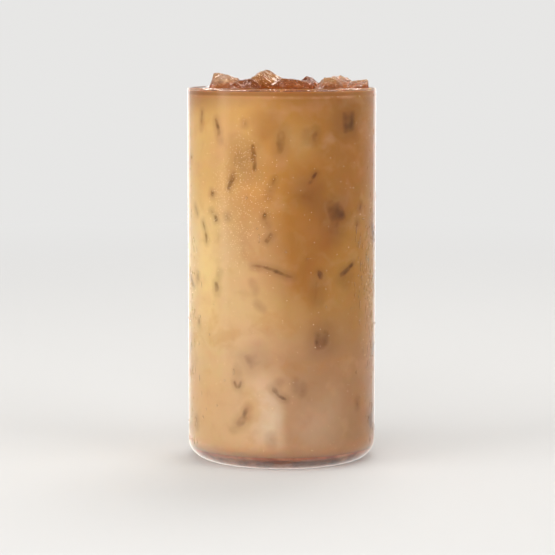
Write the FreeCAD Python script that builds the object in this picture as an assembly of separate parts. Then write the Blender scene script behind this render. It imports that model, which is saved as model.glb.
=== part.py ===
"""Iced cold brew coffee with milk in a tall straight glass.

The glass is one blown piece: a thin cylinder with a fire-polished lip, a rounded heel and a shallow
push-up under its foot. The drink fills the bore up to just under the lip and climbs the wall in a
small meniscus. Lumps of ice float at the top; each is a separate piece that stands out of the drink.

Frame: +Z up, origin on the surface the glass stands on, at the middle of its foot. Millimetres.
"""

import FreeCAD as App
import Part

import math
import os
import random

# Glass
GLASS_DIAMETER = 75.0
GLASS_HEIGHT = 148.0
WALL = 1.8
BASE_THICKNESS = 4.6
HEEL_RADIUS = 7.2
BORE_CORNER_RADIUS = 5.5
FOOT_RING_WIDTH = 4.0
PUSH_UP = 1.2

# Drink
LEVEL_BELOW_LIP = 1.8
MENISCUS_RISE = 0.7
MENISCUS_WIDTH = 1.6

# Ice
ICE_TO_GLASS = 0.35
ICE_TO_ICE = 0.7
FACET_TILT_DEG = 16.0

# One row for each lump: its place across the bore as shares of the bore's radius (right, back), how
# high its tip stands above the lip, its size along its longest side, and the seed of its facets.
ICE_LUMPS = [
    (-0.60, -0.22, 6.0, 17.0, 37),
    (-0.13, -0.30, 7.4, 19.0, 410),
    (-0.40, -0.70, 4.1, 13.0, 234),
    (0.12, -0.72, 4.0, 16.0, 266),
    (0.30, 0.02, 4.3, 16.0, 2),
    (0.50, -0.42, 4.4, 15.0, 160),
    (0.66, 0.02, 4.4, 14.0, 117),
    (0.84, -0.34, 3.3, 12.0, 286),
    (-0.58, 0.40, 2.6, 20.0, 3),
    (-0.16, 0.66, 4.6, 21.0, 7),
    (0.34, 0.58, 2.4, 19.0, 15),
    (-0.20, 0.18, 3.2, 16.0, 9),
    (0.70, 0.48, 2.2, 16.0, 6),
    (-0.86, 0.06, -0.5, 13.0, 4),
    (-0.72, -0.60, -0.3, 13.0, 1),
    (0.50, -0.80, 1.2, 12.0, 5),
]

BORE_RADIUS = GLASS_DIAMETER / 2 - WALL
LEVEL = GLASS_HEIGHT - LEVEL_BELOW_LIP
UP = App.Vector(0, 0, 1)


def point(radius, height):
    """A point of a turned outline, in the plane of X and Z."""
    return App.Vector(radius, 0, height)


def quarter_arc(centre_radius, centre_height, radius, start_deg):
    """A quarter circle of an outline that turns anticlockwise from start_deg."""
    ends = [math.radians(start_deg + turn) for turn in (0, 45, 90)]
    return Part.Arc(
        *[
            point(
                centre_radius + radius * math.cos(angle),
                centre_height + radius * math.sin(angle),
            )
            for angle in ends
        ]
    )


def line(start, end):
    return Part.LineSegment(start, end)


def turned(outline):
    """The solid that a closed outline sweeps in a full turn round Z."""
    wire = Part.Wire([curve.toShape() for curve in outline])
    return Part.Face(wire).revolve(App.Vector(0, 0, 0), UP, 360)


def bore_floor():
    """The bore's outline from the middle of its floor to the foot of its straight wall."""
    corner = BORE_RADIUS - BORE_CORNER_RADIUS
    return [
        line(point(0, BASE_THICKNESS), point(corner, BASE_THICKNESS)),
        quarter_arc(corner, BASE_THICKNESS + BORE_CORNER_RADIUS, BORE_CORNER_RADIUS, -90),
    ]


def glass():
    outer = GLASS_DIAMETER / 2
    foot_outer = outer - HEEL_RADIUS
    foot_inner = foot_outer - FOOT_RING_WIDTH
    lip = WALL / 2
    # The push-up is a shallow dome, so one arc over its half width and rise gives it.
    dome_radius = (foot_inner**2 + PUSH_UP**2) / (2 * PUSH_UP)
    half_way = math.asin(foot_inner / dome_radius) / 2
    dome_mid = point(
        dome_radius * math.sin(half_way),
        PUSH_UP - dome_radius * (1 - math.cos(half_way)),
    )
    straight_foot = BASE_THICKNESS + BORE_CORNER_RADIUS
    outline = [
        Part.Arc(point(0, PUSH_UP), dome_mid, point(foot_inner, 0)),
        line(point(foot_inner, 0), point(foot_outer, 0)),
        quarter_arc(foot_outer, HEEL_RADIUS, HEEL_RADIUS, -90),
        line(point(outer, HEEL_RADIUS), point(outer, GLASS_HEIGHT - lip)),
        Part.Arc(
            point(outer, GLASS_HEIGHT - lip),
            point(outer - lip, GLASS_HEIGHT),
            point(BORE_RADIUS, GLASS_HEIGHT - lip),
        ),
        line(point(BORE_RADIUS, GLASS_HEIGHT - lip), point(BORE_RADIUS, straight_foot)),
        *reversed(bore_floor()),
        line(point(0, BASE_THICKNESS), point(0, PUSH_UP)),
    ]
    return turned(outline)


def full_bore():
    """The drink before the ice is taken out of it: the bore up to the level, with its meniscus."""
    straight_foot = BASE_THICKNESS + BORE_CORNER_RADIUS
    wall_top = LEVEL + MENISCUS_RISE
    meniscus = Part.Arc(
        point(BORE_RADIUS, wall_top),
        point(BORE_RADIUS - MENISCUS_WIDTH * 0.4, LEVEL + MENISCUS_RISE * 0.3),
        point(BORE_RADIUS - MENISCUS_WIDTH, LEVEL),
    )
    outline = [
        *bore_floor(),
        line(point(BORE_RADIUS, straight_foot), point(BORE_RADIUS, wall_top)),
        meniscus,
        line(point(BORE_RADIUS - MENISCUS_WIDTH, LEVEL), point(0, LEVEL)),
        line(point(0, LEVEL), point(0, BASE_THICKNESS)),
    ]
    return turned(outline)


def cut_beyond(solid, place, outward):
    """Takes off what lies beyond a plane through place, on the side that outward points to."""
    reach = 4 * solid.BoundBox.DiagonalLength
    waste = Part.makeBox(reach, reach, reach, App.Vector(-reach / 2, -reach / 2, 0))
    waste.Placement = App.Placement(place, App.Rotation(UP, outward))
    return solid.cut(waste)


def rough_lump(size, seed):
    """A half-melted cube of ice with its corners and edges broken off, turned at random."""
    chance = random.Random(seed)
    sides = [size, size * chance.uniform(0.74, 0.92), size * chance.uniform(0.66, 0.86)]
    lump = Part.makeBox(*sides, App.Vector(*[-side / 2 for side in sides]))
    signs = (-1, 0, 1)
    ways = [(x, y, z) for x in signs for y in signs for z in signs]
    for way in ways:
        broken_sides = sum(abs(step) for step in way)
        if broken_sides < 2:
            continue
        outward = App.Vector(*[step * chance.uniform(0.6, 1.4) for step in way])
        corner = App.Vector(*[step * side / 2 for step, side in zip(way, sides)])
        kept = chance.uniform(0.80, 0.93) if broken_sides == 2 else chance.uniform(0.66, 0.82)
        lump = cut_beyond(lump, corner * kept, outward)
    spin = App.Rotation(chance.uniform(0, 360), chance.uniform(-50, 50), chance.uniform(-50, 50))
    lump.Placement = App.Placement(App.Vector(0, 0, 0), spin)
    return lump


def facing_tilt(first, second):
    """The lean of the facet between two lumps: the same whichever of them asks."""
    return random.Random(100 * min(first, second) + max(first, second)).uniform(
        -FACET_TILT_DEG, FACET_TILT_DEG
    )


def ice_lumps():
    """The lumps of ice at the top. Where two crowd each other, each is flat along the gap between
    them, and each keeps clear of the wall of the glass."""
    middles = [
        App.Vector(right * BORE_RADIUS, back * BORE_RADIUS, LEVEL)
        for right, back, _, _, _ in ICE_LUMPS
    ]
    within = Part.makeCylinder(BORE_RADIUS - ICE_TO_GLASS, 2 * GLASS_HEIGHT)
    lumps = []
    for number, (_, _, tip, size, seed) in enumerate(ICE_LUMPS):
        lump = rough_lump(size, seed)
        lift = GLASS_HEIGHT + tip - lump.BoundBox.ZMax
        lump.translate(App.Vector(middles[number].x, middles[number].y, lift))
        for other, (_, _, _, other_size, _) in enumerate(ICE_LUMPS):
            apart = middles[other] - middles[number]
            if other == number or apart.Length > size + other_size:
                continue
            share = size / (size + other_size)
            lower, higher = sorted((number, other))
            lean = math.tan(math.radians(facing_tilt(lower, higher)))
            outward = App.Vector(apart).normalize()
            side = 1 if number == lower else -1
            outward = App.Vector(outward.x, outward.y, side * lean).normalize()
            facet = middles[number] + apart * share - outward * (ICE_TO_ICE / 2)
            lump = cut_beyond(lump, facet, outward)
        lumps.append(lump.common(within).removeSplitter())
    return lumps


def main():
    os.makedirs("parts", exist_ok=True)
    lumps = ice_lumps()
    drink = full_bore()
    for lump in lumps:
        drink = drink.cut(lump)
    pieces = {"glass": glass(), "drink": drink}
    for number, lump in enumerate(lumps, start=1):
        pieces[f"ice_{number:02d}"] = lump
    for node, shape in pieces.items():
        solid = shape.Solids[0] if len(shape.Solids) == 1 else shape
        solid.exportStep(os.path.join("parts", f"{node}.step"))
        box = solid.BoundBox
        print(
            f"{node}: {len(shape.Solids)} solid, valid {solid.isValid()}, "
            f"{solid.Volume / 1000:.2f} ml, z {box.ZMin:.1f} to {box.ZMax:.1f}"
        )


main()
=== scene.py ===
"""Iced cold brew coffee with milk in a tall straight glass, dressed for rendering.

Metres, +Z up, with the origin on the surface that the glass stands on, at the middle of its foot.
"""

import math
import random

import bmesh
import bpy
from mathutils import Matrix, Vector, noise
from mathutils.bvhtree import BVHTree


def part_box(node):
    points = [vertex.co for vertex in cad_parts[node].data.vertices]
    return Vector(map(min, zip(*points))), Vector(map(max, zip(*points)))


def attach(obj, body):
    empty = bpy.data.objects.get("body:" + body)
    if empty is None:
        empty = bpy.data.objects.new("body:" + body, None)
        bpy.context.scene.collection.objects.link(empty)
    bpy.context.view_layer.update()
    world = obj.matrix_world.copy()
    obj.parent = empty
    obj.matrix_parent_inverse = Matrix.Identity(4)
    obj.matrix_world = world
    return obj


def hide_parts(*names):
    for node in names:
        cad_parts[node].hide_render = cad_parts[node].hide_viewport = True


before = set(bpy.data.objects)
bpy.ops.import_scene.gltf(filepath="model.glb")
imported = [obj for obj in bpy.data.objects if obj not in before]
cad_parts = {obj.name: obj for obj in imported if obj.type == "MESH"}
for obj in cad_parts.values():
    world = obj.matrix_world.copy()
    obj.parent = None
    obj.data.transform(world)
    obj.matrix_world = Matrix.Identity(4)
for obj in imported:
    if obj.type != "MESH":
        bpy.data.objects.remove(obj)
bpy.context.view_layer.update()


# ---------------------------------------------------------------------------------------------
# Camera. A long lens a little above the rim, tipped down, so that the rim is nearly a line and
# the foot shows as an open curve.

MM = 0.001
CAMERA_PLACE = (-1.7, -884.0, 167.0)
CAMERA_DOWN_DEG = 6.14
LENS_MM = 143.8

camera = bpy.data.objects.new("camera", bpy.data.cameras.new("camera"))
camera.data.lens = LENS_MM
camera.location = Vector(CAMERA_PLACE) * MM
camera.rotation_euler = (math.radians(90 - CAMERA_DOWN_DEG), 0, 0)
bpy.context.scene.collection.objects.link(camera)
bpy.context.scene.camera = camera
bpy.context.scene.view_settings.view_transform = "Standard"


# ---------------------------------------------------------------------------------------------
# Stage. A pale room without corners: the floor fades into the world's colour at some distance.
# Soft lamps stand in front on both sides and overhead. Strips that only show as reflections draw
# the bright lines along the glass and its lip, and light nothing else.

# The world as it is seen, and the shares of its strength when it lights things, and when it shows
# in a reflection of what is in front and of what is behind.
SEEN_WORLD = (0.80, 0.795, 0.785, 1.0)
LIT_WORLD_SHARE = 0.7
MIRRORED_FRONT_SHARE = 0.42
MIRRORED_BEHIND_SHARE = 1.0
# The floor: its colour, how far it reaches and where it starts to fade, in metres.
FLOOR_COLOUR = (0.66, 0.65, 0.635, 1.0)
FLOOR_REACH = 1.15
FLOOR_FADES_FROM = 0.2
# The glow that reflections see on the floor: its colour, how far to the left of the glass its middle
# lies, where it starts to fade and where it ends, and how much of it is lost at the right. Rays
# straight out from the middle of the glass are at a slant of -1 and miss it. Those from the last
# slant on see all of it.
GLOW_COLOUR = (1.75, 1.68, 1.55, 1.0)
GLOW_TO_THE_LEFT = 0.014
GLOW_FADES_FROM = 0.046
GLOW_ENDS = 0.095
GLOW_LOST_AT_RIGHT = 0.5
GLOW_FULL_SLANT = -0.84

# Where the lamps point. Then one row for each lamp: its name, its place, what it points at, its
# width and height, how far its light spreads in degrees, its watts, whether it lights what isn't
# clear, and whether it shows in reflections and through what is clear.
MIDDLE = (0.0, 0.0, 0.08)
LEFT_FRONT = (-0.022, -0.030, 0.083)
LEFT_EDGE = (-0.0365, 0, 0.081)
RIGHT_EDGE = (0.0365, 0, 0.081)
LAMPS = [
    ("key_lamp", (-1.4, -0.75, 0.95), MIDDLE, (1.3, 0.9), 180, 14.0, True, True),
    ("fill_lamp", (1.3, -0.8, 0.75), MIDDLE, (1.1, 0.8), 180, 9.5, True, True),
    ("front_lamp", (-0.3, -1.6, 1.0), MIDDLE, (1.2, 1.2), 180, 12.0, True, False),
    ("top_lamp", (0.2, 0.7, 1.3), MIDDLE, (0.7, 0.7), 180, 8.0, True, False),
    ("left_lip_lamp", (-1.10, -0.42, 1.07), MIDDLE, (1.30, 0.14), 180, 14.0, False, True),
    ("right_lip_lamp", (1.01, -0.61, 1.07), MIDDLE, (1.10, 0.14), 180, 8.0, False, True),
    ("crown_lamp", (-0.1, -0.1, 1.2), MIDDLE, (0.35, 0.25), 180, 2.6, False, True),
    ("back_left_lamp", (-0.55, 0.95, 0.95), MIDDLE, (0.6, 0.16), 180, 3.6, False, True),
    ("back_right_lamp", (0.55, 0.95, 0.95), MIDDLE, (0.6, 0.16), 180, 3.0, False, True),
    ("window_lamp", (-0.476, -0.155, 0.100), LEFT_FRONT, (0.24, 0.30), 24, 0.0040, False, True),
    ("left_edge_lamp", (-0.049, 0.060, 0.081), LEFT_EDGE, (0.014, 0.158), 34, 0.00034, False, True),
    ("left_soft_lamp", (-0.065, 0.060, 0.081), LEFT_EDGE, (0.018, 0.158), 34, 0.00022, False, True),
    ("right_edge_lamp", (0.049, 0.060, 0.081), RIGHT_EDGE, (0.014, 0.158), 34, 0.00024, False, True),
    ("right_soft_lamp", (0.065, 0.060, 0.081), RIGHT_EDGE, (0.018, 0.158), 34, 0.00018, False, True),
]


class Wire:
    """One socket of a material's nodes. Arithmetic on wires adds Math nodes."""

    def __init__(self, tree, socket=None):
        self.tree = tree
        self.socket = socket

    def node(self, kind, settings=(), inputs=(), output=0):
        """Adds a node: first its settings, then a value or a wire for each input that is named."""
        made = self.tree.nodes.new("ShaderNode" + kind)
        for name, value in dict(settings).items():
            if name == "stops":
                ramp = made.color_ramp.elements
                while len(ramp) < len(value):
                    ramp.new(1.0)
                for stop, (position, stop_colour) in zip(ramp, value):
                    stop.position = position
                    stop.color = stop_colour
            else:
                setattr(made, name, value)
        for name, value in dict(inputs).items():
            if isinstance(value, Wire):
                self.tree.links.new(value.socket, made.inputs[name])
            else:
                made.inputs[name].default_value = value
        return Wire(self.tree, made.outputs[output] if made.outputs else None)

    def math(self, operation, *values):
        return self.node("Math", {"operation": operation}, enumerate(values))

    def __add__(self, other):
        return self.math("ADD", self, other)

    def __sub__(self, other):
        return self.math("SUBTRACT", self, other)

    def __rsub__(self, other):
        return self.math("SUBTRACT", other, self)

    def __mul__(self, other):
        return self.math("MULTIPLY", self, other)

    __radd__ = __add__
    __rmul__ = __mul__

    def rise(self, low, high):
        """0 up to low and 1 from high, with a smooth step between."""
        return self.node(
            "MapRange",
            {"interpolation_type": "SMOOTHSTEP"},
            {"Value": self, "From Min": low, "From Max": high},
        )

    def under(self, cover, mask, mode="MIX"):
        """This colour with another laid over it where mask is 1."""
        return self.node(
            "Mix",
            {"data_type": "RGBA", "blend_type": mode},
            {0: mask, 6: self, 7: cover},
            output=2,
        )

    def coloured(self, *stops):
        """The colour that stops of (position, colour) give at this value."""
        return self.node("ValToRGB", {"stops": stops}, {0: self})

    def part(self, axis):
        """This vector's X, Y or Z, by its number."""
        return self.node("SeparateXYZ", {}, {0: self}, axis)

    def vector(self, operation, *others, output="Vector"):
        """Vector arithmetic on this vector and the others."""
        return self.node("VectorMath", {"operation": operation}, enumerate((self, *others)), output)

    def moved(self, vector, share):
        """This vector with a share of another added to it."""
        step = self.node("VectorMath", {"operation": "SCALE"}, {0: vector, "Scale": share})
        return self.vector("ADD", step)

    def clouds(self, size, detail=3.0, roughness=0.5, output="Fac"):
        """Noise at this place whose clouds are about size metres across."""
        return self.node(
            "TexNoise",
            {},
            {"Vector": self, "Scale": 1 / size, "Detail": detail, "Roughness": roughness},
            output=output,
        )


def paint(name):
    """A new material and the wire that its nodes start from."""
    material = bpy.data.materials.new(name)
    material.use_nodes = True
    material.node_tree.nodes.clear()
    return material, Wire(material.node_tree)


def new_piece(name, bm, *materials):
    """The smooth object of a finished bmesh, with its place in its mesh."""
    mesh = bpy.data.meshes.new(name)
    bm.to_mesh(mesh)
    bm.free()
    for material in materials:
        mesh.materials.append(material)
    mesh.shade_smooth()
    piece = bpy.data.objects.new(name, mesh)
    bpy.context.scene.collection.objects.link(piece)
    return piece


def ray_kinds(nodes):
    """Whether a ray comes from the camera, from a reflection, or through something clear."""
    kinds = ("Camera", "Glossy", "Transmission")
    return [nodes.node("LightPath", output=f"Is {kind} Ray") for kind in kinds]


room = bpy.data.worlds.new("room")
room.use_nodes = True
room.node_tree.nodes.clear()
bpy.context.scene.world = room
sky = Wire(room.node_tree)
seen, mirrored, through = ray_kinds(sky)
behind = sky.node("TexCoord", output="Generated").part(1).rise(0.2, 0.95)
mirrored_share = MIRRORED_FRONT_SHARE + (MIRRORED_BEHIND_SHARE - MIRRORED_FRONT_SHARE) * behind
strength = LIT_WORLD_SHARE + (1 - LIT_WORLD_SHARE) * (seen + through)
strength = strength + (mirrored - through).rise(0.0, 1.0) * (mirrored_share - LIT_WORLD_SHARE)
room_light = sky.node("Background", {}, {"Color": SEEN_WORLD, "Strength": strength})
sky.node("OutputWorld", {}, {"Surface": room_light})

floor_paint, nodes = paint("floor")
seen, mirrored, through = ray_kinds(nodes)
place = nodes.node("TexCoord", output="Object")
away = place.vector("LENGTH", output="Value")
shadowed_floor = nodes.node("BsdfDiffuse", {}, {"Color": FLOOR_COLOUR})
strength = LIT_WORLD_SHARE + (1 - LIT_WORLD_SHARE) * (seen + through)
far_off = nodes.node("Emission", {}, {"Color": SEEN_WORLD, "Strength": strength})
faded = away.rise(FLOOR_FADES_FROM, FLOOR_REACH)
fading = nodes.node("MixShader", {}, {0: faded, 1: shadowed_floor, 2: far_off})

level_way = nodes.node("NewGeometry", output="Incoming").vector("MULTIPLY", (1, 1, 0))
outward = place.vector("NORMALIZE")
slant = level_way.vector("NORMALIZE").vector("DOT_PRODUCT", outward, output="Value")
from_middle = place.moved((1, 0, 0), GLOW_TO_THE_LEFT).vector("LENGTH", output="Value")
ring = (1 - from_middle.rise(GLOW_FADES_FROM, GLOW_ENDS)) * slant.rise(-1.0, GLOW_FULL_SLANT)
ring = ring * (1 - GLOW_LOST_AT_RIGHT * place.part(0).rise(0.0, 0.03))
no_floor = nodes.node("BsdfTransparent")
glow = nodes.node("Emission", {}, {"Color": GLOW_COLOUR, "Strength": 1.0})
mirrored_floor = nodes.node("MixShader", {}, {0: ring, 1: no_floor, 2: glow})

off_paint = nodes.node("LightPath", output="Diffuse Depth").rise(0.0, 1.0)
off_glass = (mirrored - off_paint).rise(0.0, 1.0)
either = nodes.node("MixShader", {}, {0: off_glass, 1: fading, 2: mirrored_floor})
nodes.node("OutputMaterial", {}, {"Surface": either})

bm = bmesh.new()
bmesh.ops.create_grid(bm, x_segments=1, y_segments=1, size=FLOOR_REACH)
floor = new_piece("floor", bm, floor_paint)

for name, place, target, (width, height), spread, watts, lights, shows in LAMPS:
    light = bpy.data.lights.new(name, "AREA")
    light.shape = "RECTANGLE"
    light.size = width
    light.size_y = height
    light.spread = math.radians(spread)
    light.energy = watts
    lamp = bpy.data.objects.new(name, light)
    lamp.location = place
    aim = Vector(target) - lamp.location
    lamp.rotation_euler = aim.to_track_quat("-Z", "Y").to_euler()
    lamp.visible_camera = False
    lamp.visible_diffuse = lights
    lamp.visible_glossy = shows
    lamp.visible_transmission = shows
    bpy.context.scene.collection.objects.link(lamp)


# ---------------------------------------------------------------------------------------------
# The glass. One blown piece of clear soda-lime glass: a thin cylinder with a fire-polished lip, a
# rounded heel and a shallow push-up under its foot, so that it stands on a ring.

glass_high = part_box("glass")[1]
drink_low, drink_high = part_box("drink")
OUTER_RADIUS = max(glass_high.x, glass_high.y) / MM
GLASS_HEIGHT = glass_high.z / MM
BORE_RADIUS = max(drink_high.x, drink_high.y) / MM
BASE_THICKNESS = drink_low.z / MM
WALL = OUTER_RADIUS - BORE_RADIUS
HEEL_RADIUS = 7.2
BORE_CORNER_RADIUS = 5.5
FOOT_RING_WIDTH = 4.0
PUSH_UP = 1.2
GLASS_TINT = (0.985, 0.995, 0.99, 1.0)
GLASS_IOR = 1.5
GLASS_PITCH = 2.0
GLASS_STEPS = 192
SEAM_GAP = 0.004


def outline(corners, rounds, pitch, flat_pitch):
    """The outline of a turned piece, from corners of (radius, height) in mm. rounds gives a corner's
    radius by its number. Upright runs longer than pitch are divided, and level ones by flat_pitch."""
    bm = bmesh.new()
    verts = [bm.verts.new((radius * MM, 0, height * MM)) for radius, height in corners]
    for pair in zip(verts, verts[1:]):
        bm.edges.new(pair)
    for number, radius in rounds.items():
        bmesh.ops.bevel(
            bm,
            geom=[verts[number]],
            offset=radius * MM,
            segments=max(6, round(radius * 1.6)),
            profile=0.5,
            affect="VERTICES",
            material=-1,
        )
    for edge in bm.edges[:]:
        run = edge.verts[1].co - edge.verts[0].co
        step = flat_pitch if abs(run.x) > abs(run.z) else pitch
        cuts = math.ceil(run.length / (step * MM)) - 1
        if cuts > 0:
            bmesh.ops.subdivide_edges(bm, edges=[edge], cuts=cuts)
    return bm


def turn(bm, steps):
    """Turns an outline round Z into a closed skin that faces outwards: an eighth, doubled thrice."""
    eighth = math.pi / 4
    bmesh.ops.spin(
        bm,
        geom=bm.verts[:] + bm.edges[:],
        cent=(0, 0, 0),
        axis=(0, 0, 1),
        angle=eighth,
        steps=steps // 8,
        use_merge=False,
    )
    for made in (1, 2, 4):
        whole = bm.verts[:] + bm.edges[:] + bm.faces[:]
        copy = bmesh.ops.duplicate(bm, geom=whole)["geom"]
        verts = [part for part in copy if isinstance(part, bmesh.types.BMVert)]
        spin = Matrix.Rotation(made * eighth, 3, "Z")
        bmesh.ops.rotate(bm, verts=verts, cent=(0, 0, 0), matrix=spin)
    bmesh.ops.remove_doubles(bm, verts=bm.verts, dist=SEAM_GAP * MM)
    bmesh.ops.recalc_face_normals(bm, faces=bm.faces)


def let_lamps_through(nodes, finish, tint):
    """Ends a material with its finish, which the lamps' light passes straight, with this tint."""
    open_way = nodes.node("BsdfTransparent", {}, {"Color": tint})
    from_lamp = nodes.node("LightPath", output="Is Shadow Ray")
    both = nodes.node("MixShader", {}, {0: from_lamp, 1: finish, 2: open_way})
    nodes.node("OutputMaterial", {}, {"Surface": both})


def clear_paint(name, tint, ior, roughness):
    """Clear stuff that bends what is seen through it and lets the lamps reach what is behind it."""
    material, nodes = paint(name)
    clear = nodes.node(
        "BsdfPrincipled",
        {},
        {"Base Color": tint, "Roughness": roughness, "IOR": ior, "Transmission Weight": 1.0},
    )
    let_lamps_through(nodes, clear, tint)
    return material


foot_inner = OUTER_RADIUS - HEEL_RADIUS - FOOT_RING_WIDTH
bm = outline(
    [
        (0, PUSH_UP),
        (foot_inner, 0),
        (OUTER_RADIUS, 0),
        (OUTER_RADIUS, GLASS_HEIGHT),
        (BORE_RADIUS, GLASS_HEIGHT),
        (BORE_RADIUS, BASE_THICKNESS),
        (0, BASE_THICKNESS),
    ],
    {2: HEEL_RADIUS, 3: WALL / 2, 4: WALL / 2, 5: BORE_CORNER_RADIUS},
    GLASS_PITCH,
    GLASS_PITCH,
)
for vert in bm.verts:
    if vert.co.z < PUSH_UP * MM and vert.co.x < foot_inner * MM:
        vert.co.z = PUSH_UP * MM * (1 - (vert.co.x / (foot_inner * MM)) ** 2)
turn(bm, GLASS_STEPS)
tumbler = new_piece("tumbler", bm, clear_paint("clear_glass", GLASS_TINT, GLASS_IOR, 0.0))
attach(tumbler, "root")
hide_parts("glass")


# ---------------------------------------------------------------------------------------------
# The ice in the drink. Half-melted cubes and slivers that lie against the wall: where one comes
# near the glass, only a thin film of milk covers it, and it shows as a dark soft mark.

# One row for each lump: its angle round the glass from the front, its height, its width and its
# length, how far its top leans to the left, how far it is swivelled away from lying flat on the
# wall, how far it tips, and the film of milk between it and the glass. Degrees and mm.
WALL_ICE = [
    (-58.2, 135.7, 1.1, 7.5, -4, 0, 3, 0.02),
    (-42.3, 132.1, 2.0, 9.5, 14, 0, 3, 0.04),
    (-22.8, 134.7, 1.4, 1.8, 0, 0, 0, 0.30),
    (-17.3, 121.6, 1.8, 11.0, 4, 0, 0, 0.02),
    (-23.0, 120.6, 8.0, 12.0, 4, -4, 0, 0.75),
    (-18.5, 126.6, 1.0, 5.0, 84, 0, 0, 0.50),
    (-31.8, 113.4, 2.2, 9.0, -22, 0, -3, 0.00),
    (-29.6, 120.5, 1.2, 7.0, -6, 0, 0, 0.28),
    (-47.6, 107.2, 1.8, 2.2, -20, 0, 0, 0.08),
    (-0.6, 128.3, 3.0, 10.5, -5, 0, 0, 0.28),
    (-10.0, 134.4, 5.0, 6.0, 10, 0, 0, 1.1),
    (-6.4, 110.0, 1.2, 8.5, -18, 0, 3, 0.16),
    (44.0, 136.0, 8.4, 9.5, -4, 5, 0, 0.75),
    (45.0, 135.2, 6.0, 7.4, 6, 0, 0, 0.16),
    (20.2, 130.0, 2.0, 6.4, -6, 0, 0, 0.20),
    (15.5, 129.8, 2.4, 4.6, -6, 0, 0, 0.42),
    (20.0, 114.8, 1.2, 3.0, -34, 0, 0, 0.02),
    (18.0, 112.6, 1.0, 3.6, -46, 0, 0, 0.22),
    (17.0, 108.0, 5.0, 5.0, -20, 0, 0, 0.80),
    (-55.8, 94.4, 1.1, 4.4, 24, 0, 0, 0.05),
    (-53.6, 90.2, 1.1, 5.0, 6, 0, 0, 0.03),
    (-65.4, 100.3, 1.0, 4.4, 35, 0, 0, 0.20),
    (-47.0, 99.8, 1.0, 3.4, 42, 0, 0, 0.25),
    (-44.6, 97.8, 1.3, 2.2, 20, 0, 0, 0.02),
    (-35.5, 98.7, 1.2, 1.5, 0, 0, 0, 0.15),
    (-10.6, 99.0, 1.5, 3.4, -6, 0, 6, 0.04),
    (-9.4, 96.5, 1.0, 3.0, 30, 0, 0, 0.35),
    (-9.0, 90.0, 1.3, 1.6, -35, 0, 0, 0.15),
    (-6.9, 91.8, 1.3, 2.0, -35, 0, 0, 0.15),
    (31.4, 103.0, 4.8, 4.0, 30, 0, 0, 0.45),
    (35.0, 100.4, 6.4, 7.2, 20, 0, 0, 0.10),
    (34.0, 96.0, 5.4, 10.0, -10, 0, 0, 0.70),
    (56.4, 101.9, 1.3, 2.6, -10, 0, 0, 0.22),
    (53.2, 95.7, 1.2, 2.6, 0, 0, 0, 0.15),
    (-13.8, 79.9, 1.0, 6.0, 84, 0, 0, 0.14),
    (-8.0, 79.2, 1.0, 6.0, 76, 0, 0, 0.08),
    (-2.6, 77.9, 1.2, 6.0, 64, 0, 0, 0.00),
    (3.0, 76.4, 1.0, 5.0, 74, 0, 0, 0.14),
    (-17.3, 72.1, 0.9, 4.0, 25, 0, 0, 0.34),
    (-13.6, 64.5, 0.9, 4.0, 50, 0, 0, 0.34),
    (-63.6, 73.9, 1.8, 2.6, 0, 0, 0, 0.10),
    (-44.0, 70.6, 2.3, 5.2, 5, 0, 4, 0.00),
    (-42.0, 75.0, 1.0, 5.0, -16, 0, 0, 0.30),
    (24.0, 76.4, 1.9, 3.6, 22, 0, 0, -0.06),
    (23.0, 70.4, 3.4, 9.0, -4, 0, 0, 0.70),
    (21.2, 70.0, 0.9, 8.0, -6, 0, 0, 0.24),
    (47.0, 79.2, 1.3, 3.4, -60, 0, 0, -0.03),
    (42.0, 77.0, 1.9, 6.4, -58, 0, 0, 0.00),
    (42.0, 74.6, 4.2, 4.0, -30, 0, 0, 0.55),
    (-62.4, 56.2, 0.9, 2.4, 0, 0, 0, 0.20),
    (24.7, 51.3, 5.8, 7.0, 4, 0, 0, 0.44),
    (22.0, 49.8, 1.6, 4.0, 14, 0, 0, 0.10),
    (25.0, 48.4, 1.4, 4.0, 80, 0, 0, 0.22),
    (-17.4, 43.4, 6.0, 5.4, 30, 0, 0, 0.60),
    (-26.6, 33.4, 0.8, 3.0, -22, 0, 0, 0.04),
    (-29.6, 33.4, 0.8, 3.0, 22, 0, 0, 0.04),
    (-28.0, 38.4, 2.6, 6.0, -8, 0, 0, 0.50),
    (-4.4, 32.0, 1.6, 3.6, 38, 0, 0, 0.00),
    (-0.6, 29.4, 0.9, 4.4, 62, 0, 0, 0.03),
    (-2.6, 34.4, 1.2, 3.0, -40, 0, 0, 0.32),
    (8.6, 33.6, 1.1, 4.2, 4, 0, 0, 0.32),
    (12.4, 32.0, 1.1, 4.6, -4, 0, 0, 0.34),
    (-22.6, 23.2, 2.2, 5.0, -28, 0, 0, 0.10),
    (-25.2, 19.4, 2.8, 6.4, -44, 0, 0, 0.32),
    (-29.0, 16.4, 2.0, 5.0, -60, 0, 0, 0.36),
    (-6.8, 12.4, 2.2, 5.0, 0, 0, 0, 0.30),
    (54.0, 24.3, 1.3, 4.0, 5, 0, 0, 0.34),
    (-66.0, 15.9, 2.0, 5.0, 0, 0, 0, 0.30),
]
# How softly a lump shows through the milk: wide ones, from the first width on, spread the most.
MARK_SPREADS = [(4.9, 2.6), (2.7, 1.6), (0.0, 1.0)]
# Lumps round the side that the rows leave out, spread evenly from one angle and one height on.
HIDDEN_SIDE_ICE = 60
HIDDEN_SIDE_FROM, HIDDEN_SIDE_SPAN = 72, 216
HIDDEN_ICE_FROM, HIDDEN_ICE_SPAN = 16, 122
GOLDEN_SHARE = 0.618
ICE_SEED = 5
# The noise that shapes and tints the pieces starts from this seed, so that every run is the same.
NOISE_SEED = 1
ICE_IOR = 1.31
SUNK_ICE_TINT = (0.82, 0.74, 0.66, 1.0)


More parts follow.
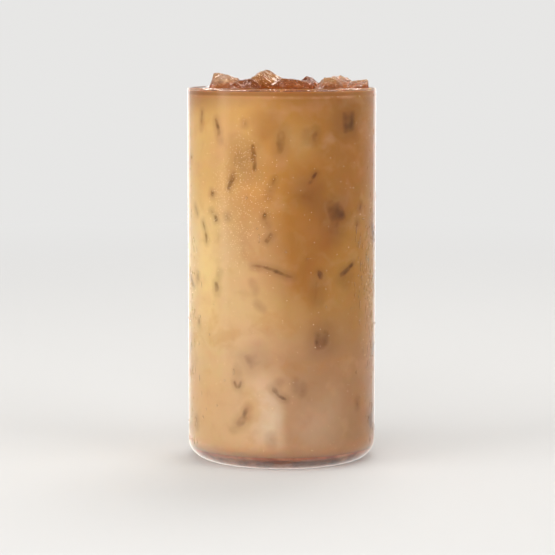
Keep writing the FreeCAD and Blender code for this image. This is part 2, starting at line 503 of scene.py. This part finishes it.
def melted_lump(width, deep, tall, chance):
    """A lump of ice in a bmesh of its own: a cube whose edges and corners have melted round."""
    lump = bmesh.new()
    bmesh.ops.create_cube(lump, size=1.0)
    bmesh.ops.subdivide_edges(lump, edges=lump.edges, cuts=4, use_grid_fill=True)
    bmesh.ops.scale(lump, vec=(width, deep, tall), verts=lump.verts)
    for _ in range(2):
        bmesh.ops.smooth_vert(
            lump, verts=lump.verts, factor=0.5, use_axis_x=True, use_axis_y=True, use_axis_z=True
        )
    if tall > 1.7 * width:
        for vert in lump.verts:
            far_along = (2 * vert.co.z / tall) ** 2
            vert.co.x *= 1 - 0.55 * far_along
            vert.co.y *= 1 - 0.12 * far_along
    shift = Vector([chance.uniform(-50, 50) for _ in range(3)])
    for vert in lump.verts:
        push = noise.noise_vector(vert.co / (4 * MM) + shift)
        vert.co += 0.09 * min(width, deep, tall) * push
    return lump


def gather(bm, part):
    """Moves what is in one bmesh into another."""
    carrier = bpy.data.meshes.new("carrier")
    part.to_mesh(carrier)
    part.free()
    bm.from_mesh(carrier)
    bpy.data.meshes.remove(carrier)


def seat_on_wall(lump, row):
    """Turns a lump as its row says and lays it round the wall, its nearest point at the film's depth."""
    angle, height, _, _, lean, swivel, tip, film = row
    turned = (
        Matrix.Rotation(math.radians(-lean), 4, "Y")
        @ Matrix.Rotation(math.radians(swivel), 4, "Z")
        @ Matrix.Rotation(math.radians(tip), 4, "X")
    )
    bmesh.ops.transform(lump, matrix=turned, verts=lump.verts)
    nearest = min(vert.co.y for vert in lump.verts)
    for vert in lump.verts:
        out = (BORE_RADIUS - film) * MM - (vert.co.y - nearest)
        around = math.radians(angle) + vert.co.x / (BORE_RADIUS * MM)
        vert.co = (out * math.sin(around), -out * math.cos(around), height * MM + vert.co.z)


noise.seed_set(NOISE_SEED)
chance = random.Random(ICE_SEED)
rows = list(WALL_ICE)
for number in range(HIDDEN_SIDE_ICE):
    rows.append(
        (
            HIDDEN_SIDE_FROM + HIDDEN_SIDE_SPAN * (number + chance.uniform(0.1, 0.9)) / HIDDEN_SIDE_ICE,
            HIDDEN_ICE_FROM + HIDDEN_ICE_SPAN * ((number * GOLDEN_SHARE) % 1.0),
            chance.choice((1.0, 1.3, 1.6, 2.2, 3.0, 5.0, 6.0)),
            chance.uniform(3, 10),
            chance.uniform(-70, 70),
            chance.uniform(-15, 15),
            chance.uniform(-6, 6),
            chance.uniform(0.0, 0.4),
        )
    )
lumps_by_spread = {spread: bmesh.new() for _, spread in MARK_SPREADS}
for row in rows:
    lump = melted_lump(row[2] * MM, row[2] * MM, row[3] * MM, chance)
    seat_on_wall(lump, row)
    spread = next(spread for least_width, spread in MARK_SPREADS if row[2] > least_width)
    gather(lumps_by_spread[spread], lump)
ice_near_wall = [(spread, BVHTree.FromBMesh(lumps)) for spread, lumps in lumps_by_spread.items()]
bm = bmesh.new()
for lumps in lumps_by_spread.values():
    gather(bm, lumps)
sunk_ice = new_piece("sunk_ice", bm, clear_paint("sunk_ice", SUNK_ICE_TINT, ICE_IOR, 0.08))
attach(sunk_ice, "root")


# ---------------------------------------------------------------------------------------------
# The drink. Cold brew with milk, opaque, not quite stirred: creamier at the left and low down,
# darker coffee at the right and under the ice, with the left side also painted lighter and the right
# darker as a share of the shading that the key lamp from the left gives. It wets the glass and climbs
# it a little at the top.

LEVEL = GLASS_HEIGHT - 1.8
MENISCUS_RISE = drink_high.z / MM - LEVEL
MENISCUS_WIDTH = 1.6
INTO_GLASS = 0.12
DRINK_STEPS = 368
DRINK_PITCH = 0.6
TOP_PITCH = 3.0
# The film of milk over the ice is measured up to this depth, and only in the outer part of the
# drink, which starts at this share of the bore's radius.
DEEPEST_FILM = 8.0
OUTER_PART = 0.8

# One row for each swirl that the milk has drawn in the coffee: its angle, its height, its half
# width in degrees, half its height, how far its top leans to the left, and how much milk it has
# more than what is round it, or less where it is below nothing. Degrees and mm.
SWIRLS = [
    (-54, 80, 12, 26, 2, 0.78),
    (-22, 68, 14, 12, 10, 0.25),
    (-36, 54, 26, 16, -10, 0.20),
    (-25, 95, 12, 13, 0, -0.18),
    (23, 94, 16, 19, 4, -0.95),
    (16, 75, 6, 9, -4, -0.55),
    (2, 60, 14, 13, 6, 0.30),
    (8, 126, 14, 9, 0, 0.15),
    (56, 74, 14, 22, 0, -0.30),
    (-8, 20, 9, 15, 8, 1.00),
    (26, 18, 16, 14, -12, 0.35),
    (-20, 122, 10, 12, 5, 0.25),
    (9, 133, 12, 10, 0, 0.12),
    (110, 60, 16, 24, 12, 0.6),
    (150, 100, 18, 22, -8, -0.7),
    (190, 40, 20, 20, 6, 0.6),
    (215, 90, 14, 26, 4, 0.5),
    (255, 110, 16, 18, -10, -0.5),
]


def milkiness(spot):
    """How much more milk than usual there is at a place on the wall, from -1 to 1."""
    bent = spot + noise.noise_vector(spot / (14 * MM)) * 4 * MM
    bent += noise.noise_vector(spot / (5 * MM)) * 1.2 * MM
    around = math.degrees(math.atan2(bent.x, -bent.y))
    total = 0.0
    for angle, height, half_width, half_tall, lean, amount in SWIRLS:
        up = bent.z / MM - height
        aside = (around - angle + 180) % 360 - 180 + up * math.tan(math.radians(lean)) * 1.5
        off = math.hypot(aside / half_width, up / half_tall)
        total += amount * max(0.0, 1 - off * off / 2.2) ** 2
    return max(-1.0, min(1.0, total))


skin_radius = BORE_RADIUS + INTO_GLASS
bm = outline(
    [
        (0, BASE_THICKNESS - INTO_GLASS),
        (skin_radius, BASE_THICKNESS - INTO_GLASS),
        (skin_radius, LEVEL + MENISCUS_RISE),
        (BORE_RADIUS - 0.3, LEVEL + MENISCUS_RISE),
        (BORE_RADIUS - MENISCUS_WIDTH, LEVEL),
        (0, LEVEL),
    ],
    {1: BORE_CORNER_RADIUS},
    DRINK_PITCH,
    TOP_PITCH,
)
turn(bm, DRINK_STEPS)
film = bm.verts.layers.float.new("film")
milk_share = bm.verts.layers.float.new("milk_share")
for vert in bm.verts:
    if vert.co.xy.length > OUTER_PART * BORE_RADIUS * MM:
        ragged = noise.noise_vector(vert.co / (2 * MM)) * 0.22 * MM
        depths = [DEEPEST_FILM]
        for spread, lumps in ice_near_wall:
            depth = lumps.find_nearest(vert.co + ragged, DEEPEST_FILM * MM)[3]
            if depth is not None:
                depths.append(depth / MM / spread)
        vert[film] = min(depths)
        vert[milk_share] = 0.5 + 0.5 * milkiness(vert.co)
    else:
        vert[film] = DEEPEST_FILM
        vert[milk_share] = 0.5
for face in bm.faces:
    if face.normal.z > 0.3:
        face.material_index = 1
    elif face.normal.z < -0.9:
        face.material_index = 2

def shade(red, green, blue):
    """A colour named as it shows on a screen, 0 to 255, as the share of light that it gives back."""
    shares = [value / 255 for value in (red, green, blue)]
    light = [
        share / 12.92 if share <= 0.04045 else ((share + 0.055) / 1.055) ** 2.4
        for share in shares
    ]
    return (*light, 1.0)


side_paint, nodes = paint("milky_coffee_at_the_glass")

# From coffee at the right to cream at the left, the left also painted lighter and the right darker as
# a share of the key lamp's shading, with one row of colours for the top, one for the middle and one
# for the foot, each blended into the next with height.
place = nodes.node("TexCoord", output="Object")
eddies = place.moved(place.clouds(30 * MM, 2.0, output="Color"), 9 * MM)
height = eddies.part(2)
# Painted light: the creamy left is also painted lighter, and the coffee right darker, for the key lamp's
# side light.
creamy_and_lit = (eddies.part(0) + 4 * MM).rise(36 * MM, -36 * MM)
top_colour = creamy_and_lit.coloured(
    (0.0, shade(166, 112, 42)),
    (0.26, shade(177, 124, 48)),
    (0.54, shade(205, 156, 88)),
    (0.8, shade(209, 170, 109)),
    (1.0, shade(207, 170, 105)),
)
mid_colour = creamy_and_lit.coloured(
    (0.0, shade(179, 131, 56)),
    (0.26, shade(173, 120, 50)),
    (0.54, shade(203, 165, 120)),
    (0.8, shade(213, 184, 138)),
    (1.0, shade(225, 199, 147)),
)
low_colour = creamy_and_lit.coloured(
    (0.0, shade(173, 131, 92)),
    (0.26, shade(186, 148, 112)),
    (0.54, shade(213, 180, 142)),
    (0.8, shade(209, 176, 130)),
    (1.0, shade(207, 174, 128)),
)
milk = low_colour.under(mid_colour, height.rise(35 * MM, 85 * MM))
milk = milk.under(top_colour, height.rise(85 * MM, 120 * MM))

# The swirls, with dark coffee where milk is short and cream where there is more, then wisps and
# fine threads of both.
share = nodes.node("Attribute", {"attribute_name": "milk_share"}, output="Fac")
milk = milk.under(shade(162, 102, 30), (0.5 - share) * 1.7)
cream = height.rise(30 * MM, 70 * MM).coloured((0.0, shade(217, 198, 172)), (1.0, shade(227, 200, 141)))
milk = milk.under(cream, (share - 0.5) * 1.6)
wisps = place.moved(place.clouds(14 * MM, 2.0, output="Color"), 12 * MM).clouds(13 * MM, 3.0)
milk = milk.under(shade(206, 156, 120), wisps.rise(0.5, 0.72) * share.rise(0.2, 0.6) * 0.3)
milk = milk.under(shade(186, 132, 66), wisps.rise(0.48, 0.28) * 0.35)
threads = place.moved(place.clouds(9 * MM, 2.0, output="Color"), 9 * MM).clouds(8 * MM, 3.0)
milk = milk.under(shade(228, 192, 146), threads.rise(0.5, 0.8) * 0.14)
milk = milk.under(shade(160, 108, 62), threads.rise(0.5, 0.2) * 0.2)

# Sunk ice seen through the film of milk over it: a wide soft shade, the mark itself, and its core
# where the ice all but touches the glass.
true_height = place.part(2)
film_depth = nodes.node("Attribute", {"attribute_name": "film"}, output="Fac")
near = film_depth.rise(2.6, 0.0)
shallow = film_depth.rise(0.55, 0.05)
bare = film_depth.rise(0.22, 0.0)
mark_colour = true_height.rise(10 * MM, 130 * MM).coloured(
    (0.0, shade(172, 160, 160)), (0.5, shade(170, 152, 136)), (1.0, shade(178, 154, 112))
)
milk = milk.under(shade(178, 158, 148), near * 0.32, "MULTIPLY")
milk = milk.under(mark_colour, shallow * 0.75, "MULTIPLY")
milk = milk.under(shade(152, 148, 108), bare * 0.6, "MULTIPLY")

# The dark band where the drink climbs the glass, darker coffee with painted shade of the lip on it,
# the line of froth below it, painted shade under the lip, deepest at the left and faint all round,
# and the coffee warmer and darker towards the foot, with a painted shade along its lowest edge.
lip_shade_band = true_height.rise((LEVEL - 1.3) * MM, (LEVEL - 0.5) * MM)
froth_line = true_height.rise((LEVEL - 2.4) * MM, (LEVEL - 1.5) * MM) - lip_shade_band
shade_under_lip = true_height.rise(132 * MM, 145 * MM) * creamy_and_lit.rise(0.66, 0.98)
milk = milk.under(shade(214, 158, 106), froth_line * 0.6 * wisps.rise(0.4, 0.6))
# Painted shade of the lip over the darker coffee of the top band.
milk = milk.under(shade(158, 104, 44), lip_shade_band * 0.7)
# Painted shade under the lip, at the creamy left.
milk = milk.under(shade(218, 196, 158), shade_under_lip, "MULTIPLY")
# Faint painted shade all round, just under the lip.
milk = milk.under(shade(236, 232, 238), true_height.rise(139 * MM, 145 * MM), "MULTIPLY")
milk = milk.under(shade(206, 146, 106), true_height.rise(12 * MM, 6 * MM) * 0.45)
# Painted shade along the drink's lowest edge, where it meets the glass floor.
milk = milk.under(shade(128, 68, 42), true_height.rise(5.9 * MM, 4.8 * MM) * 0.5)


def coffee_finish(nodes, colour, roughness, gloss):
    """The body of the drink: light goes a little way into it and comes back warmer."""
    coffee = nodes.node(
        "BsdfPrincipled",
        {},
        {
            "Base Color": colour,
            "Roughness": roughness,
            "Specular IOR Level": gloss,
            "Subsurface Weight": 1.0,
            "Subsurface Radius": (1.0, 0.45, 0.2),
            "Subsurface Scale": 1.0 * MM,
        },
    )
    nodes.node("OutputMaterial", {}, {"Surface": coffee})


coffee_finish(nodes, milk, 0.45, 0.08)

top_paint, nodes = paint("milky_coffee_on_top")
place = nodes.node("TexCoord", output="Object")
swirl = place.moved(place.clouds(14 * MM, 2.0, output="Color"), 8 * MM).clouds(9 * MM, 4.0)
froth_colour = swirl.coloured(
    (0.3, shade(134, 80, 30)), (0.55, shade(166, 112, 54)), (0.7, shade(200, 154, 96))
)
coffee_finish(nodes, froth_colour, 0.12, 0.5)

below_paint, nodes = paint("milky_coffee_below")
place = nodes.node("TexCoord", output="Object")
# The underside's mottled coffee, painted paler than it is, to stand in for the light that the glass foot
# carries to it.
settled_and_painted_light = place.clouds(5 * MM, 3.0).coloured(
    (0.35, shade(172, 88, 56)), (0.5, shade(208, 118, 78)), (0.65, shade(230, 152, 112))
)
coffee_finish(nodes, settled_and_painted_light, 0.45, 0.08)

drink = new_piece("milky_coffee", bm, side_paint, top_paint, below_paint)
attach(drink, "root")
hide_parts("drink")


# ---------------------------------------------------------------------------------------------
# The ice at the top. Half-melted lumps with chipped facets that stand out of the drink, wet and
# stained by it, and small chips that float near the glass.

CHIPPED_EDGE = 0.5
ICE_PITCH = 0.7
# How much coffee each lump has taken up, from 0 for clear ice to 1, and how much the others have.
ICE_STAINS = {
    "ice_01": 0.32,
    "ice_02": 0.54,
    "ice_03": 0.85,
    "ice_04": 0.9,
    "ice_05": 0.9,
    "ice_06": 0.46,
    "ice_07": 0.36,
    "ice_08": 0.42,
    "ice_16": 0.8,
}
OTHER_STAIN = 0.5
SMALL_CHIPS = 46
CHIP_SEED = 3

top_ice_paint, nodes = paint("stained_ice")
place = nodes.node("TexCoord", output="Object")
stain = place.moved(place.clouds(5 * MM, 2.0, output="Color"), 4 * MM).clouds(6 * MM, 6.0, 0.65)
taken_up = nodes.node("Attribute", {"attribute_name": "stained"}, output="Fac")
ice_colour = (taken_up + (0.5 - stain)).coloured(
    (0.0, shade(255, 252, 248)),
    (0.25, shade(246, 224, 196)),
    (0.5, shade(220, 178, 110)),
    (0.75, shade(190, 126, 58)),
    (1.0, shade(146, 84, 32)),
)
soaked = (place.part(2) - 3 * MM * stain).rise((LEVEL + 3.8) * MM, (LEVEL + 0.8) * MM)
ice_colour = ice_colour.under(shade(178, 106, 46), soaked * 0.85)
frost = place.clouds(3 * MM, 3.0).rise(0.5, 0.72) * 0.3 + 0.03
cracks = place.clouds(1.6 * MM, 3.0)
crazed = nodes.node("Bump", {}, {"Strength": 0.7, "Distance": 0.4 * MM, "Height": cracks})
wet_ice = nodes.node(
    "BsdfPrincipled",
    {},
    {
        "Base Color": ice_colour,
        "Roughness": frost,
        "IOR": ICE_IOR,
        "Transmission Weight": 0.76,
        "Normal": crazed,
    },
)
let_lamps_through(nodes, wet_ice, (0.72, 0.60, 0.48, 1.0))

ice_nodes = sorted(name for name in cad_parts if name.startswith("ice_"))
for node_name in ice_nodes:
    bm = bmesh.new()
    bm.from_mesh(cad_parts[node_name].data)
    bmesh.ops.remove_doubles(bm, verts=bm.verts, dist=0.02 * MM)
    bmesh.ops.dissolve_limit(bm, angle_limit=math.radians(4), verts=bm.verts, edges=bm.edges)
    bmesh.ops.bevel(
        bm,
        geom=bm.edges[:],
        offset=CHIPPED_EDGE * MM,
        segments=2,
        profile=0.5,
        affect="EDGES",
        material=-1,
        clamp_overlap=True,
    )
    bmesh.ops.dissolve_degenerate(bm, dist=0.001 * MM, edges=bm.edges)
    bmesh.ops.triangulate(bm, faces=bm.faces)
    for _ in range(4):
        long_edges = [edge for edge in bm.edges if edge.calc_length() > ICE_PITCH * MM]
        if long_edges:
            bmesh.ops.subdivide_edges(bm, edges=long_edges, cuts=1, use_single_edge=True)
            bmesh.ops.triangulate(bm, faces=bm.faces)
    bm.normal_update()
    stained = bm.verts.layers.float.new("stained")
    for vert in bm.verts:
        vert[stained] = ICE_STAINS.get(node_name, OTHER_STAIN)
        rough = noise.fractal(vert.co / (3 * MM), 1.0, 2.0, 3)
        chipped = abs(noise.noise(vert.co / (2.2 * MM)))
        vert.co += vert.normal * (rough * 0.4 - chipped * 0.7) * MM
    lump = new_piece("top_" + node_name, bm, top_ice_paint)
    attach(lump, "root")
    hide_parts(node_name)

chance = random.Random(CHIP_SEED)
bm = bmesh.new()
for _ in range(SMALL_CHIPS):
    size = chance.uniform(1.2, 3.2) * MM
    around = math.radians(chance.uniform(0, 360))
    out = (BORE_RADIUS - 1.8 - 10 * chance.random() ** 2) * MM
    chip = melted_lump(size, size * chance.uniform(0.6, 1), size * chance.uniform(0.5, 0.9), chance)
    turned = Matrix.Rotation(chance.uniform(0, 6.28), 4, "Z")
    turned = turned @ Matrix.Rotation(chance.uniform(-0.5, 0.5), 4, "X")
    bmesh.ops.transform(chip, matrix=turned, verts=chip.verts)
    spot = Vector((out * math.sin(around), -out * math.cos(around), (LEVEL + 0.3) * MM))
    bmesh.ops.translate(chip, vec=spot, verts=chip.verts)
    gather(bm, chip)
chip_paint = clear_paint("chip_ice", (0.98, 0.93, 0.88, 1.0), ICE_IOR, 0.04)
small_chips = new_piece("small_chips", bm, chip_paint)
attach(small_chips, "root")


# ---------------------------------------------------------------------------------------------
# Bubbles. Small froth bubbles that the pouring left, most of them in a ragged ring where the drink
# meets the glass, and a few between the lumps.

BUBBLES = 420
BUBBLE_SEED = 8
BEADS_AT_ONCE = 60


def beads(bm, spots, fine):
    """Adds small beads, each a place, a radius, how flat it lies, how long it hangs and a turn."""
    for start in range(0, len(spots), BEADS_AT_ONCE):
        batch = bmesh.new()
        for spot, radius, flat, tall, turned in spots[start:start + BEADS_AT_ONCE]:
            shape = Matrix.Translation(spot) @ turned @ Matrix.Diagonal((1, flat, tall, 1))
            bmesh.ops.create_icosphere(batch, subdivisions=fine, radius=radius, matrix=shape)
        gather(bm, batch)


chance = random.Random(BUBBLE_SEED)
spots = []
for _ in range(BUBBLES):
    around = math.radians(chance.uniform(0, 360))
    out = BORE_RADIUS - 0.5 - 16 * chance.random() ** 4
    radius = chance.uniform(0.22, 0.75)
    rise = MENISCUS_RISE * max(0.0, 1 - (BORE_RADIUS - out) / MENISCUS_WIDTH)
    spot = Vector((out * math.sin(around), -out * math.cos(around), LEVEL + rise + 0.1 * radius)) * MM
    spots.append((spot, radius * MM, 1.0, 1.0, Matrix.Identity(4)))
bm = bmesh.new()
beads(bm, spots, 2)
bubble_paint = clear_paint("bubble_skin", (0.95, 0.84, 0.72, 1.0), 1.2, 0.02)
froth = new_piece("froth", bm, bubble_paint)
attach(froth, "root")


# ---------------------------------------------------------------------------------------------
# Dew. Cold glass in warm air: fine drops of water all over the outside, thickest where the ice
# lies behind the wall, and larger ones that have run together near the sides.

DEW_SEED = 21
DROP_FLATNESS = 0.45
LARGE_DROP = 0.26
LARGEST_RUNNING_DROP = 0.42
WATER_IOR = 1.33

# One row for each patch of drops: how many, the middle and the spread of their angle, the middle
# and the spread of their height, their least and greatest radius, and the least gap between them.
# Degrees and mm.
DEW = [
    (90, -23, 4, 123, 6, 0.09, 0.16, 0.5),
    (120, -38, 5, 108, 8, 0.08, 0.15, 0.5),
    (190, -29, 8, 102, 8, 0.08, 0.17, 0.5),
    (100, -13, 6, 108, 7, 0.08, 0.15, 0.5),
    (70, -26, 4, 90, 5, 0.08, 0.15, 0.5),
    (300, 0, 110, 78, 45, 0.08, 0.16, 0.8),
    (450, 180, 70, 78, 45, 0.08, 0.20, 0.8),
    (150, 70, 7, 62, 30, 0.16, 0.45, 0.8),
    (120, -72, 6, 50, 28, 0.16, 0.40, 0.8),
    (60, 60, 6, 74, 9, 0.26, 0.50, 0.8),
    (150, 180, 80, 60, 35, 0.26, 0.55, 1.0),
]

chance = random.Random(DEW_SEED)
small, large = [], []
for count, middle, spread, height, reach, least, most, gap in DEW:
    patch = []
    for _ in range(count * 4):
        if len(patch) == count:
            break
        angle = math.radians(chance.gauss(middle, spread))
        level = min(GLASS_HEIGHT - 3, max(HEEL_RADIUS + 1, chance.gauss(height, reach)))
        spot = Vector((OUTER_RADIUS * math.sin(angle), -OUTER_RADIUS * math.cos(angle), level)) * MM
        if any((spot - other).length < gap * MM for other in patch):
            continue
        patch.append(spot)
        radius = chance.uniform(least, most)
        runs = LARGE_DROP < radius < LARGEST_RUNNING_DROP
        tall = chance.choice((1.0, 1.0, 1.4, 3.0, 4.5)) if runs else 1.0
        drop = (spot, radius * MM, DROP_FLATNESS, tall, Matrix.Rotation(angle, 4, "Z"))
        (large if radius > LARGE_DROP else small).append(drop)
bm = bmesh.new()
beads(bm, small, 2)
dew_sparkle_paint, nodes = paint("dew_with_painted_sparkle")
# Fine water drops whose skin is partly a pale golden diffuse colour: a painted sparkle that stands in
# for the glints such small drops catch.
dew_with_sparkle = nodes.node(
    "BsdfPrincipled",
    {},
    {
        "Base Color": (0.88, 0.66, 0.37, 1.0),
        "Roughness": 0.35,
        "IOR": WATER_IOR,
        "Transmission Weight": 0.3,
    },
)
let_lamps_through(nodes, dew_with_sparkle, (1.0, 1.0, 1.0, 1.0))
dew = new_piece("dew", bm, dew_sparkle_paint)
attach(dew, "root")

bm = bmesh.new()
beads(bm, large, 2)
drops = new_piece("drops", bm, clear_paint("water", (1.0, 1.0, 1.0, 1.0), WATER_IOR, 0.0))
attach(drops, "root")
